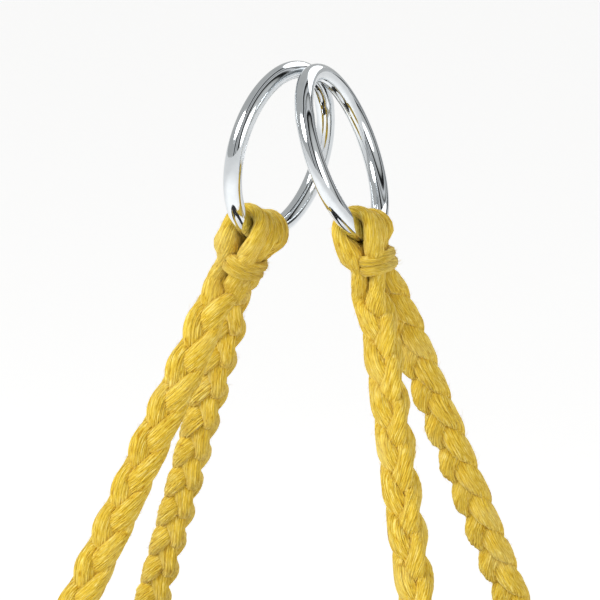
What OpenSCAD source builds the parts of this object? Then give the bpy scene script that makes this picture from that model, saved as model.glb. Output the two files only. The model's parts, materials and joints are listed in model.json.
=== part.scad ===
// Tyre swing. A tyre lies flat and hangs by four braided ropes from two steel rings that share one hook.
// Each ring carries one rope eye, bound by a whipping, from which a front and a back rope part.
// Millimetres, +Z up, X across the two rings, -Y to the front.
// The origin is the point where the hook bears on the rings: the inside of their wires at the top.

/* [Rings] */
// Diameter of the ring wire
ring_wire_d = 10; // [8:0.5:12]
// Radius of a ring's centreline
ring_r = 45; // [40:1:55]
// Lean of the left ring, outwards from the hook
lean_left = 6; // [4:1:12]
// Lean of the right ring, outwards from the hook
lean_right = 24; // [18:1:28]
// Turn of the left ring about its hanging line
turn_left = 15; // [10:1:18]

/* [Rope] */
// Diameter of a braided rope's envelope
rope_d = 20; // [16:1:24]
// Diameter of the bound neck under a rope eye
neck_d = 18.4; // [15:0.2:22]
// Thickness of the rope lapped over a ring wire
lap_t = 6.6; // [5:0.2:8]
// Width of a rope eye along the ring wire
eye_w = 33; // [26:1:38]
// Thickness of the whipping cord
whip_cord_d = 6.6; // [4:0.2:7]

/* [Spread of the ropes] */
// Drop from the left ring's wire to the line where the ropes part
part_drop = 39.8; // [39:0.2:45]
// Outward reach of the left parting point from the hook
part_left = 38; // [34:0.5:42]
// Outward reach of the right parting point from the hook
part_right = 52.5; // [48:0.5:56]
// Drop from the parting line to the eye bolts' ring centres
rope_drop = 518; // [430:1:650]

/* [Tyre] */
// Outer radius of the tyre
tyre_r = 380; // [365:1:395]
// Width of the tyre, which is its height here
tyre_w = 230; // [190:1:280]
// Radius of the bead, which is the tyre's centre hole
bead_r = 203; // [190:1:215]
// Thickness of the sidewalls
sidewall_t = 10; // [8:0.5:14]
// Radius of the circle of eye bolts
bolt_circle_r = 299; // [285:1:310]

/* [Eye bolts] */
// Diameter of the bolt shank and of the eye's wire
bolt_d = 12; // [10:1:14]
// Radius of the eye's centreline
bolt_eye_r = 21; // [19:0.5:24]
// Radius of the washers
washer_r = 22; // [18:1:26]

/* [Hidden] */
$fn = 64;
gap = 0.35;              // clearance between pieces that move or lie against each other
seat = 0.2;              // clearance between pieces that are clamped together
turn_right = -1;         // turn of the right ring about its hanging line
ring_shift_left = 2;     // the left ring sits this far back on the hook
ring_shift_right = -1.7; // the right ring sits this far forward on the hook
ring_crossing = 0.0345;  // half the sideways room between the wires at the hook, as a share of the ring's radius:
                         // larger rings cross further out as they turn, and need more of it
hook_offset = 0.25;      // the wires' meeting point lies this far to the right of the hook's middle
slide_angle = -18;       // each rope eye has slid this far round its ring, towards the front
parting_r = 12;          // radius of the ball of rope where a front and a back rope part
flare_drop = 24;         // drop from the parting line to where a rope runs straight
flare_out = 8;           // outward run of a rope over that drop
flare_y = 27;            // forward or backward run of a rope over that drop
whip_at_left = 23.5;     // whipping centres, measured down the neck from the ring wire
whip_at_right = 19.5;
whip_at_bolt = 25;       // the same from an eye bolt's wire
whip_pitch = 6;          // the two turns of a whipping lie this far apart
whip_sink = 0.3;         // share of the whipping cord's thickness from the neck out to the cord's middle
bend_swell = 0.4;        // a rope is this much fatter in radius where it bends
collar_r = 14;           // the eye bolt's shoulder: its radius, its height and its spread over the shank on top
collar_h = 8;
collar_top = 2;
washer_t = 3;
nut_flats = 19;          // the nut across its flats
nut_h = 13;
thread_end = 6;          // the shank stands out of its nut by this much
tread_t = 21;            // rubber and plies under the tread
shoulder_r = 38;         // rounding from tread to sidewall, outside and inside
inner_shoulder_r = 30;
crown_drop = 5;          // the tread is this much lower at its edges than at its middle
crown_share = 0.35;      // part of that drop is already reached where the crown's facet ends
crown_facet = 0.55;      // end of the crown's facet, as a share of the straight half of the tread
bead_w = 14;             // width and height of a bead's seat
bead_toe = 31;           // the bead's toe lies this far below the sidewall's face
bead_heel = 12;          // and its heel this far
heel_w = 5;
flange_w = 9;            // the sidewall leaves the bead this far outside its seat
flange_h = 10;
bead_foot = 22;          // inside, the bead runs out this far from its seat
deck_in = 52;            // the flat band of a sidewall starts this far outside the bead
deck_inside = 4;         // and this much further out inside the casing
groove_w = 9;            // tread grooves: width, depth and pitch as a share of the tyre's width
groove_d = 9;
groove_pitch = 0.185;
groove_rows = [-1.5, -0.5, 0.5, 1.5];
drain_r = 7;             // drain holes in the lower sidewall
drains = 6;
end_eye_angle = 62;      // the lap of a lower rope eye covers this much of its bolt's ring

wire_r = ring_wire_d / 2;
rope_r = rope_d / 2;
neck_r = neck_d / 2;
whip_half = (whip_pitch + whip_cord_d) / 2;
whip_r = neck_r + seat + whip_cord_d * (whip_sink + 0.5);   // outer radius of a whipping
bolt_r = bolt_d / 2;
ring_top = wire_r;                       // height of the wire's centre over the hook's bearing point

// Unit vector down a ring's hanging line, and the ring's own level direction, for an outward lean and a turn.
// side is -1 on the left and 1 on the right.
function hang(side, lean) = [side * sin(lean), 0, -cos(lean)];
function level(side, lean, turn) = [sin(turn) * cos(lean), cos(turn), side * sin(turn) * sin(lean)];
function ring_hook(side) = [
    side * (wire_r + ring_crossing * ring_r) + hook_offset,
    side < 0 ? ring_shift_left : ring_shift_right,
    ring_top
];
function ring_lean(side) = side < 0 ? lean_left : lean_right;
function ring_turn(side) = side < 0 ? turn_left : turn_right;
function ring_centre(side) = ring_hook(side) + ring_r * hang(side, ring_lean(side));
function eye_wire(side) = ring_centre(side)
    + ring_r * cos(slide_angle) * hang(side, ring_lean(side))
    + ring_r * sin(slide_angle) * level(side, ring_lean(side), ring_turn(side));

part_z = eye_wire(-1)[2] - part_drop;    // height of the line where the ropes part, the swing's axis
function parting(side) = [side < 0 ? -part_left : part_right, 0, part_z];
function flare(side, way) = parting(side) + [side * flare_out, way * flare_y, -flare_drop];

deck_start = bead_r + deck_in;
deck_end = tyre_r - crown_drop - shoulder_r;
deck_mid = (deck_start + deck_end) / 2;
half_w = tyre_w / 2;
bolt_xy = bolt_circle_r / sqrt(2);
bolt_z = part_z - rope_drop;             // height of the eye bolts' ring centres
deck_z = bolt_z - bolt_eye_r - bolt_r - collar_h - washer_t - seat + bolt_r / 2;
function bolt_centre(side, way) = [side * bolt_xy, way * bolt_xy, bolt_z];
function pull(side, way) = unit(flare(side, way) - bolt_centre(side, way));
function bolt_wire(side, way) = bolt_centre(side, way) + bolt_eye_r * pull(side, way);

function unit(v) = v / norm(v);
function heading(v) = atan2(v[1], v[0]);
function tilt(v) = acos(v[2] / norm(v));

// Turns +Z to the direction v.
module aim(v) {
    rotate([0, tilt(v), heading(v)]) children();
}

// A round bar from a to b.
module bar(a, b, r) {
    translate(a) aim(b - a) cylinder(h = norm(b - a), r = r);
}

// Places children drawn in a ring's own plane: its axis is Z here and its hanging line is +X.
module in_ring(side) {
    translate(ring_hook(side))
        rotate([0, -side * ring_lean(side), 0])
            rotate([0, 0, -ring_turn(side)])
                translate([0, 0, -ring_r])
                    rotate([0, 90, 0]) children();
}

// Places children in an eye bolt's ring plane: its axis is Z here and the rope's pull is +X.
module in_bolt(side, way) {
    translate(bolt_centre(side, way))
        rotate([0, 0, heading(pull(side, way))])
            rotate([90, 0, 0])
                rotate([0, 0, 90 - tilt(pull(side, way))]) children();
}

// Part of a torus, centred on +X in its own plane.
module arc(centre_r, tube_r, angle) {
    rotate([0, 0, -angle / 2]) rotate_extrude(angle = angle) translate([centre_r, 0]) rotate(180) circle(r = tube_r);
}

// A full torus with its axis along Z.
module torus(centre_r, tube_r) {
    rotate([0, 0, 180]) rotate_extrude() translate([centre_r, 0]) rotate(180) circle(r = tube_r);
}

module ring(side) {
    color("silver") in_ring(side) torus(ring_r, wire_r);
}

// A rope eye: a lap over the ring wire, drawn in where the whipping binds it, and the neck that runs down to
// the parting point.
module eye(side) {
    wire = eye_wire(side);
    neck = parting(side) - wire;
    end = wire + unit(neck) * (norm(neck) - parting_r - gap);
    color("goldenrod") difference() {
        union() {
            difference() {
                in_ring(side)
                    rotate([0, 0, slide_angle]) arc(ring_r, wire_r + gap + lap_t, eye_w / ring_r * 180 / PI);
                at_whipping(side) cylinder(h = 2 * (whip_half + gap), r = whip_r + gap, center = true);
            }
            bar(wire, end, neck_r);
        }
        in_ring(side) torus(ring_r, wire_r + gap);
    }
}

// Places children at the middle of a ring's whipping, with the neck along Z.
module at_whipping(side) {
    wire = eye_wire(side);
    neck = parting(side) - wire;
    translate(wire + unit(neck) * (side < 0 ? whip_at_left : whip_at_right)) aim(neck) children();
}

// Two turns of cord round a neck, centred at the origin with the neck along Z.
module whipping() {
    turn_r = neck_r + seat + whip_cord_d * whip_sink;
    color("gold") difference() {
        for (s = [-1, 1]) translate([0, 0, s * whip_pitch / 2]) torus(turn_r, whip_cord_d / 2);
        cylinder(h = 4 * whip_pitch, r = neck_r + seat, center = true);
    }
}

module ring_whipping(side) {
    at_whipping(side) whipping();
}

// A rope from the parting point to the neck over its eye bolt. way is -1 at the front and 1 at the back.
module rope(side, way) {
    top = parting(side);
    bend = flare(side, way);
    foot = bolt_wire(side, way) + (whip_at_bolt + whip_half) * pull(side, way);
    taper = foot + rope_d * pull(side, way);
    color("goldenrod") difference() {
        union() {
            translate(top) sphere(r = parting_r);
            bar(top, bend, rope_r);
            translate(bend) sphere(r = rope_r + bend_swell);
            bar(bend, taper, rope_r);
            translate(foot) aim(taper - foot) cylinder(h = rope_d, r1 = neck_r, r2 = rope_r);
            bar(bend, (foot + taper) / 2, min(neck_r, rope_r) / 2);
        }
        translate(top + [0, -way * (parting_r + 1), 0])
            cube([4 * parting_r, 2 * (parting_r + 1) + seat, 4 * parting_r], center = true);
    }
}

// The eye that holds a rope's lower end on its eye bolt.
module end_eye(side, way) {
    wire = bolt_wire(side, way);
    along = pull(side, way);
    color("goldenrod") difference() {
        union() {
            in_bolt(side, way) arc(bolt_eye_r, bolt_r + gap + lap_t, end_eye_angle);
            bar(wire, wire + (whip_at_bolt + whip_half - gap) * along, neck_r);
        }
        in_bolt(side, way) torus(bolt_eye_r, bolt_r + gap);
    }
}

module end_whipping(side, way) {
    along = pull(side, way);
    translate(bolt_wire(side, way) + whip_at_bolt * along) aim(along) whipping();
}

// Places children at a bolt's hole, on the tyre's upper face.
module at_deck(side, way) {
    translate([side * bolt_xy, way * bolt_xy, deck_z]) children();
}

// A forged shoulder eye bolt.
module eye_bolt(side, way) {
    shank = sidewall_t + 2 * washer_t + 4 * seat + nut_h + thread_end;
    collar_z = washer_t + 2 * seat;
    color("darkgray") union() {
        in_bolt(side, way) torus(bolt_eye_r, bolt_r);
        at_deck(side, way) {
            translate([0, 0, collar_z]) cylinder(h = collar_h, r1 = collar_r, r2 = bolt_r + collar_top);
            translate([0, 0, collar_z - shank]) cylinder(h = shank + collar_h / 2, r = bolt_r);
        }
    }
}

module washer(side, way) {
    color("lightgray") at_deck(side, way) translate([0, 0, seat]) difference() {
        cylinder(h = washer_t, r = washer_r);
        translate([0, 0, -1]) cylinder(h = washer_t + 2, r = bolt_r + gap);
    }
}

module backing_washer(side, way) {
    color("lightgray") at_deck(side, way) translate([0, 0, -sidewall_t - seat - washer_t]) difference() {
        cylinder(h = washer_t, r = washer_r);
        translate([0, 0, -1]) cylinder(h = washer_t + 2, r = bolt_r + gap);
    }
}

module nut(side, way) {
    color("lightgray") at_deck(side, way)
        translate([0, 0, -sidewall_t - washer_t - 2 * seat - nut_h]) difference() {
            cylinder(h = nut_h, r = nut_flats / 2 / cos(30), $fn = 6);
            translate([0, 0, -1]) cylinder(h = nut_h + 2, r = bolt_r + seat);
        }
}

// Half of the casing's outline, from the bead to the middle of the tread; z is counted from the middle.
function outer_side() = [
    [bead_r, half_w - bead_toe],
    [bead_r, half_w - bead_toe + bead_w],
    [bead_r + heel_w, half_w - bead_heel],
    for (a = [0:15:90]) [deck_start - (deck_in - flange_w) * cos(a), half_w - flange_h + flange_h * sin(a)],
    for (a = [90:-10:0]) [deck_end + shoulder_r * cos(a), half_w - shoulder_r + shoulder_r * sin(a)],
    [tyre_r - crown_drop * crown_share, (half_w - shoulder_r) * crown_facet],
    [tyre_r, 0]
];
function inner_side() = [
    [tyre_r - tread_t, 0],
    for (a = [0:15:90]) [
        tyre_r - tread_t - inner_shoulder_r + inner_shoulder_r * cos(a),
        half_w - sidewall_t - inner_shoulder_r + inner_shoulder_r * sin(a)
    ],
    [deck_start + deck_inside, half_w - sidewall_t],
    [bead_r + bead_foot, half_w - sidewall_t - flange_h],
    [bead_r + bead_w, half_w - bead_toe]
];
function mirrored(points) = [for (i = [len(points) - 1:-1:0]) [points[i][0], -points[i][1]]];

// A ring of the casing: what lies between two heights and two radii. The casing's rings meet at two level
// planes, flush with the sidewalls' inner faces.
module casing_ring(low, high, inner, outer) {
    outside = outer_side();
    inside = inner_side();
    translate([0, 0, deck_z - half_w]) rotate_extrude($fn = 96) intersection() {
        polygon(concat(outside, mirrored(outside), mirrored(inside), inside));
        translate([inner, low]) square([outer - inner, high - low]);
    }
}

// The band of tread and shoulders, with its grooves.
module tyre_tread() {
    join_z = half_w - sidewall_t;
    color("dimgray") difference() {
        casing_ring(-join_z, join_z, deck_mid, tyre_r + 1);
        for (row = groove_rows)
            translate([0, 0, deck_z - half_w + row * tyre_w * groove_pitch - groove_w / 2])
                rotate_extrude($fn = 96) translate([tyre_r - groove_d, 0]) square([2 * groove_d, groove_w]);
    }
}

// The upper sidewall, which carries the four eye bolts.
module upper_sidewall() {
    color("dimgray") difference() {
        casing_ring(half_w - sidewall_t, half_w, bead_r, tyre_r);
        for (side = [-1, 1], way = [-1, 1])
            at_deck(side, way) translate([0, 0, -2 * sidewall_t]) cylinder(h = 3 * sidewall_t, r = bolt_r + gap);
    }
}

// The lower sidewall, with its drain holes.
module lower_sidewall() {
    color("dimgray") difference() {
        casing_ring(-half_w, sidewall_t - half_w, bead_r, tyre_r);
        for (i = [0:drains - 1])
            rotate([0, 0, i * 360 / drains])
                translate([bolt_circle_r, 0, deck_z - tyre_w - sidewall_t]) cylinder(h = 3 * sidewall_t, r = drain_r);
    }
}

// The two beads; side is 1 above and -1 below.
module bead(side) {
    toe = side * half_w;
    join = side * (half_w - sidewall_t);
    color("dimgray")
        casing_ring(min(toe - side * bead_toe, join), max(toe - side * bead_toe, join), bead_r, deck_mid);
}

ring(-1);  // ring_left
ring(1);  // ring_right
eye(-1);  // eye_left
eye(1);  // eye_right
ring_whipping(-1);  // whipping_left
ring_whipping(1);  // whipping_right
rope(-1, -1);  // rope_front_left
rope(-1, 1);  // rope_back_left
rope(1, -1);  // rope_front_right
rope(1, 1);  // rope_back_right
end_eye(-1, -1);  // end_eye_front_left
end_eye(-1, 1);  // end_eye_back_left
end_eye(1, -1);  // end_eye_front_right
end_eye(1, 1);  // end_eye_back_right
end_whipping(-1, -1);  // end_whipping_front_left
end_whipping(-1, 1);  // end_whipping_back_left
end_whipping(1, -1);  // end_whipping_front_right
end_whipping(1, 1);  // end_whipping_back_right
eye_bolt(-1, -1);  // eye_bolt_front_left
eye_bolt(-1, 1);  // eye_bolt_back_left
eye_bolt(1, -1);  // eye_bolt_front_right
eye_bolt(1, 1);  // eye_bolt_back_right
washer(-1, -1);  // washer_front_left
washer(-1, 1);  // washer_back_left
washer(1, -1);  // washer_front_right
washer(1, 1);  // washer_back_right
backing_washer(-1, -1);  // backing_washer_front_left
backing_washer(-1, 1);  // backing_washer_back_left
backing_washer(1, -1);  // backing_washer_front_right
backing_washer(1, 1);  // backing_washer_back_right
nut(-1, -1);  // nut_front_left
nut(-1, 1);  // nut_back_left
nut(1, -1);  // nut_front_right
nut(1, 1);  // nut_back_right
tyre_tread();
upper_sidewall();  // tyre_sidewall_upper
lower_sidewall();  // tyre_sidewall_lower
bead(1);  // tyre_bead_upper
bead(-1);  // tyre_bead_lower
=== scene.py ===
import json
import math

import bpy
import numpy as np
from mathutils import Matrix, Vector


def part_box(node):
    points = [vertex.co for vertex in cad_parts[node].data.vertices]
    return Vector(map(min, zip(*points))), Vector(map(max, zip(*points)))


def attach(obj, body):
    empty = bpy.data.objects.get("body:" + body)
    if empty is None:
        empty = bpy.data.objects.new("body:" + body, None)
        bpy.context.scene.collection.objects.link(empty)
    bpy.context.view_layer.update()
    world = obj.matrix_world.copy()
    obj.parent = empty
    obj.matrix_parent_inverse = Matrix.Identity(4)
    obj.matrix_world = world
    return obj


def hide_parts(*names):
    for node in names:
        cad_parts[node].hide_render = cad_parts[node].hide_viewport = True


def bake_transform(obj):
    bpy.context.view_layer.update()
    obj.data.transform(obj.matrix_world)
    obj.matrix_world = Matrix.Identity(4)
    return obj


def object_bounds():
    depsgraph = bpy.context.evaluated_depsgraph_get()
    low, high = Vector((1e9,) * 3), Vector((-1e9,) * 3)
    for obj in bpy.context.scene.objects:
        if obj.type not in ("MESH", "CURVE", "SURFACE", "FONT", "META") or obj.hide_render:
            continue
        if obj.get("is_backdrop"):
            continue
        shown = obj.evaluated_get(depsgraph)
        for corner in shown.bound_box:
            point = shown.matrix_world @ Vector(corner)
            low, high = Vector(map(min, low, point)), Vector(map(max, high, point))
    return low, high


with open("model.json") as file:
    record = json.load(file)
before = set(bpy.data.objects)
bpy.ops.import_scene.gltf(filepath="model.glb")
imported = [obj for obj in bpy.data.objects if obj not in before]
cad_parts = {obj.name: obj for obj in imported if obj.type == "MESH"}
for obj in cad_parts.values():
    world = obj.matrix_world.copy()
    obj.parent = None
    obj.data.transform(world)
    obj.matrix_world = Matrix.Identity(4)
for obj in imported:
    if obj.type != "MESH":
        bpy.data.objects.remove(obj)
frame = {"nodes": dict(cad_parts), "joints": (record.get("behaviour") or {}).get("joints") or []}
cad_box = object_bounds()
bpy.ops.object.select_all(action="DESELECT")


# The camera. It looks a little down at the two rings and the tops of the ropes, from the front and the right,
# through a long lens, so the tyre hangs out of sight below. The picture is square.
view_azimuth = math.radians(17.0)
view_elevation = math.radians(15.4)
view_roll = math.radians(2.0)
view_distance = 2.035
view_width_at_rings = 0.3191
aim_right = -0.0006
aim_up = -0.1210
wire_top = 0.005

back = Vector((math.sin(view_azimuth) * math.cos(view_elevation),
               -math.cos(view_azimuth) * math.cos(view_elevation),
               math.sin(view_elevation)))
level_right = Vector((math.cos(view_azimuth), math.sin(view_azimuth), 0.0))
level_up = back.cross(level_right)
right = level_right * math.cos(view_roll) + level_up * math.sin(view_roll)
up = level_up * math.cos(view_roll) - level_right * math.sin(view_roll)
bpy.ops.object.camera_add(location=(0, 0, 0))
camera = bpy.context.object
camera.name = "camera"
camera.data.sensor_width = 36.0
camera.data.lens = 36.0 * view_distance / view_width_at_rings
camera.data.clip_start = 0.05
camera.data.clip_end = 60.0
turn = Matrix((right, up, back)).transposed().to_4x4()
place = right * aim_right + up * aim_up + back * view_distance + Vector((0, 0, wire_top))
camera.matrix_world = Matrix.Translation(place) @ turn
bpy.context.scene.camera = camera
bpy.context.scene.view_settings.view_transform = "Standard"


# The light. A bright white studio with three large soft lamps: one high on the left, one on the right, one behind.
# Only reflections see the dark cards between them, which give bare steel its black lines.
def linear(hex_colour):
    """An sRGB hex colour as linear red, green, blue and 1."""
    parts = [int(hex_colour[i:i + 2], 16) / 255 for i in (0, 2, 4)]
    return tuple(c / 12.92 if c <= 0.04045 else ((c + 0.055) / 1.055) ** 2.4 for c in parts) + (1.0,)


def add_node(tree, kind, settings, *links):
    """Adds a node, sets its properties and inputs by name or number, and links (output, input) pairs into it."""
    node = tree.nodes.new(kind)
    for key, value in settings.items():
        if isinstance(key, int) or key in node.inputs:
            node.inputs[key].default_value = value
        else:
            setattr(node, key, value)
    for output, target in links:
        tree.links.new(output, node.inputs[target])
    return node


world = bpy.data.worlds.new("white_studio")
bpy.context.scene.world = world
world.use_nodes = True
sky = world.node_tree
sky.nodes.clear()
rays = add_node(sky, "ShaderNodeLightPath", {})
direction = add_node(sky, "ShaderNodeTexCoord", {})
cards = add_node(sky, "ShaderNodeMapping", {"Rotation": (0.0, 0.35, 0.3)}, (direction.outputs["Generated"], "Vector"))
axes = add_node(sky, "ShaderNodeSeparateXYZ", {}, (cards.outputs["Vector"], 0))
stripes = add_node(sky, "ShaderNodeValToRGB", {}, (axes.outputs["X"], 0))
# From one side of the studio to the other: where each card or gap lies, and its shade.
bands = ((0.0, "c2c3c2"), (0.10, "dcdee0"), (0.15, "6b6c6c"), (0.20, "171718"), (0.28, "333434"), (0.32, "bcbdbc"),
         (0.42, "e2e4e6"), (0.47, "404141"), (0.52, "b7b8b6"), (0.60, "e9eaec"), (0.65, "747574"), (0.70, "0f0f10"),
         (0.77, "272828"), (0.82, "b2b3b1"), (0.90, "dadbda"))
ramp = stripes.color_ramp
ramp.elements[0].position = bands[0][0]
ramp.elements[0].color = linear(bands[0][1])
ramp.elements[1].position = bands[1][0]
ramp.elements[1].color = linear(bands[1][1])
for position, shade in bands[2:]:
    ramp.elements.new(position).color = linear(shade)
seen_dull = add_node(sky, "ShaderNodeBackground", {"Color": (1.0, 1.0, 1.0, 1.0), "Strength": 0.5})
seen_shiny = add_node(sky, "ShaderNodeBackground", {"Strength": 1.0}, (stripes.outputs["Color"], "Color"))
seen = add_node(sky, "ShaderNodeMixShader", {}, (rays.outputs["Is Glossy Ray"], 0),
                (seen_dull.outputs[0], 1), (seen_shiny.outputs[0], 2))
plain_white = add_node(sky, "ShaderNodeBackground", {"Color": (1.0, 1.0, 1.0, 1.0), "Strength": 1.0})
behind = add_node(sky, "ShaderNodeMixShader", {}, (rays.outputs["Is Camera Ray"], 0),
                  (seen.outputs[0], 1), (plain_white.outputs[0], 2))
add_node(sky, "ShaderNodeOutputWorld", {}, (behind.outputs[0], "Surface"))

rings_at = Vector((0.0, 0.0, -0.1))
for name, side, forward, high, size, power in (
        ("key_light", -1.3, -1.5, 1.3, 1.4, 47.0),
        ("fill_light", 1.7, -1.2, 0.5, 1.4, 14.0),
        ("back_light", 0.4, 1.8, 1.1, 1.6, 12.0)):
    bpy.ops.object.light_add(type="AREA", location=(side, forward, high))
    lamp = bpy.context.object
    lamp.name = name
    lamp.data.shape = "DISK"
    lamp.data.size = size
    lamp.data.energy = power
    lamp.rotation_euler = (rings_at - lamp.location).to_track_quat("-Z", "Y").to_euler()


# The floor, a plain pale sheet far below the hanging tyre.
floor_gap = 0.42
floor_width = 60.0
bpy.ops.mesh.primitive_plane_add(size=floor_width, location=(0, 0, cad_box[0][2] - floor_gap))
floor = bpy.context.object
floor.name = "floor"
bpy.ops.object.transform_apply(location=True, rotation=True, scale=True)


def bare_material(name):
    """A new material with no nodes yet, and its node tree."""
    material = bpy.data.materials.new(name)
    material.use_nodes = True
    material.node_tree.nodes.clear()
    return material, material.node_tree


floor_paint, tree = bare_material("pale_floor_paint")
paint = add_node(tree, "ShaderNodeBsdfPrincipled",
                 {"Base Color": linear("fbfbfa"), "Roughness": 0.9, "Emission Color": linear("ffffff"),
                  "Emission Strength": 0.45})
add_node(tree, "ShaderNodeOutputMaterial", {}, (paint.outputs[0], "Surface"))
floor.data.materials.append(floor_paint)
floor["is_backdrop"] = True


# The two rings, welded from 10 mm steel wire and chrome plated. Each is a round wire bent to a circle, with the
# butt weld ground almost flush, so the wire is a little fatter there. They turn freely in their rope eyes.
ring_radius = 0.045
ring_wire = 0.005
weld_swell = 0.00022
weld_reach = 0.0035
weld_angle = {"left": math.radians(118), "right": math.radians(-128)}
joints = {joint["name"]: joint for joint in frame["joints"]}
across_y = Vector((0.0, 1.0, 0.0))
ring_frames = {}

chrome, tree = bare_material("chrome_plated_steel")
# Bright nickel-chrome: a neutral mirror with an uneven polish in patches of 7 mm. Hairline scuffs are drawn 1 mm
# wide and 8 mm long, coarser than real ones, so that they show.
place_on = add_node(tree, "ShaderNodeTexCoord", {})
polish = add_node(tree, "ShaderNodeTexNoise", {"Scale": 140.0, "Detail": 3.0, "Roughness": 0.6},
                  (place_on.outputs["Object"], "Vector"))
scuff_lie = add_node(tree, "ShaderNodeMapping", {"Scale": (900.0, 900.0, 120.0), "Rotation": (0.4, 0.9, 0.2)},
                     (place_on.outputs["Object"], "Vector"))
scuffs = add_node(tree, "ShaderNodeTexNoise", {"Scale": 1.0, "Detail": 4.0, "Roughness": 0.7},
                  (scuff_lie.outputs["Vector"], "Vector"))
gloss = add_node(tree, "ShaderNodeMapRange", {"From Min": 0.45, "From Max": 0.75, "To Min": 0.04, "To Max": 0.17},
                 (scuffs.outputs["Fac"], "Value"))
plate_tone = add_node(tree, "ShaderNodeMix", {"data_type": "RGBA", "A": linear("dfe2e4"), "B": linear("c6cbcf")},
                      (polish.outputs["Fac"], "Factor"))
relief = add_node(tree, "ShaderNodeBump", {"Strength": 0.06, "Distance": 0.0004}, (polish.outputs["Fac"], "Height"))
plate = add_node(tree, "ShaderNodeBsdfPrincipled", {"Metallic": 1.0},
                 (plate_tone.outputs["Result"], "Base Color"), (gloss.outputs["Result"], "Roughness"),
                 (relief.outputs["Normal"], "Normal"))
add_node(tree, "ShaderNodeOutputMaterial", {}, (plate.outputs[0], "Surface"))

for side in ("left", "right"):
    joint = joints[f"ring_{side}_turn"]
    centre = Vector(joint["pos_m"])
    axis = Vector(joint["axis"]).normalized()
    hang = axis.cross(across_y).normalized()
    if hang.z > 0:
        hang.negate()
    along = hang.cross(axis).normalized()
    if along.y < 0:
        along.negate()
    ring_frames[side] = (centre, axis, hang, along)
    bpy.ops.mesh.primitive_torus_add(major_segments=240, minor_segments=48,
                                     major_radius=ring_radius, minor_radius=ring_wire)
    ring = bpy.context.object
    ring.name = f"steel_ring_{side}"
    for vertex in ring.data.vertices:
        angle = math.atan2(vertex.co.y, vertex.co.x)
        off = (angle - weld_angle[side] + math.pi) % (2 * math.pi) - math.pi
        swell = weld_swell * math.exp(-(off * ring_radius / weld_reach) ** 2)
        heart = Vector((math.cos(angle), math.sin(angle), 0)) * ring_radius
        vertex.co = heart + (vertex.co - heart) * (1 + swell / ring_wire)
    stand = Matrix((hang, axis.cross(hang), axis)).transposed().to_4x4()
    ring.data.transform(Matrix.Translation(centre) @ stand)
    ring.data.shade_smooth()
    ring.data.materials.append(chrome)
    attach(ring, f"ring_{side}")
    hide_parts(f"ring_{side}")
    ring.select_set(False)


# The four suspension ropes: soft cotton cord in three loose strands, dyed yellow. Each ring carries three strands
# folded over its wire; a whipping binds their six legs, and the legs part into a front and a back plait of three.
# At the foot the three strands go once round the eye bolt's wire and are whipped back, with short cut tails.
strand_wide = 0.0063
strand_thick = 0.0044
plait_half_width = 0.0055
plait_half_depth = 0.0032
plait_pitch = 0.071
plait_start = 0.02
spine_step = 0.0022
straight_parts = 15
legs_radius = 0.0043
neck_outer = 0.0042
neck_across = 0.0073
neck_parting = 0.005
lap_wide = 0.0064
lap_thick = 0.0038
lap_gap = 0.0003
fold_pitch = 0.0113
slide_angle = math.radians(-18.0)
whip_half_height = 0.0068
ease_length = 0.017
foot_pitch = 0.0078
foot_thick = 0.0031
foot_wide = 0.0043
foot_side = 0.0042
foot_reach = 0.0085
tail_length = 0.014
bolt_eye_radius = 0.021
bolt_wire = 0.006
yarns = 26
points_per_yarn = 3
ring_step = 0.0023
yarn_depth = 0.00038
yarn_uneven = 0.00017
yarn_swell = 0.00020
yarn_turns = (34.0, 46.0)
cut_end = 0.35
cut_length = 0.004
loose_fibres = 1500
fibre_wide = 0.00007
fibre_long = 0.0042
fibre_tone_at = (0.5, 0.013)
part_height = joints["swing_fore_aft"]["pos_m"][2]
parting_reach = {"left": -0.038, "right": 0.0525}
flare_out = 0.008
flare_forward = 0.027
flare_drop = 0.024
mouth_out = 0.0145
leg_slack = {"left": 0.0056, "right": 0.0038}
mouth_inward = {("right", -1): 0.0040}


def smooth(t):
    """0 to 1 with level ends."""
    t = min(max(t, 0.0), 1.0)
    return t * t * (3 - 2 * t)


def even_path(knots, step):
    """Samples a smooth curve through knots (position, flat side, half width, half thickness) at equal steps."""
    rows = np.array([[*p, *f, w, t] for p, f, w, t in knots])
    gaps = np.maximum(np.linalg.norm(np.diff(rows[:, :3], axis=0), axis=1), 1e-6)
    at = np.concatenate([[0], np.cumsum(gaps)])
    slopes = np.gradient(rows, at, axis=0)
    fine = np.linspace(0, at[-1], int(at[-1] / step * 6))
    k = np.clip(np.searchsorted(at, fine, side="right") - 1, 0, len(at) - 2)
    h = (at[k + 1] - at[k])[:, None]
    t = (fine[:, None] - at[k][:, None]) / h
    curve = ((2 * t**3 - 3 * t**2 + 1) * rows[k] + (t**3 - 2 * t**2 + t) * h * slopes[k]
             + (-2 * t**3 + 3 * t**2) * rows[k + 1] + (t**3 - t**2) * h * slopes[k + 1])
    run = np.concatenate([[0], np.cumsum(np.linalg.norm(np.diff(curve[:, :3], axis=0), axis=1))])
    stations = np.linspace(0, run[-1], max(int(run[-1] / step), 8))
    return np.stack([np.interp(stations, run, column) for column in curve.T], axis=1), stations


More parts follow.
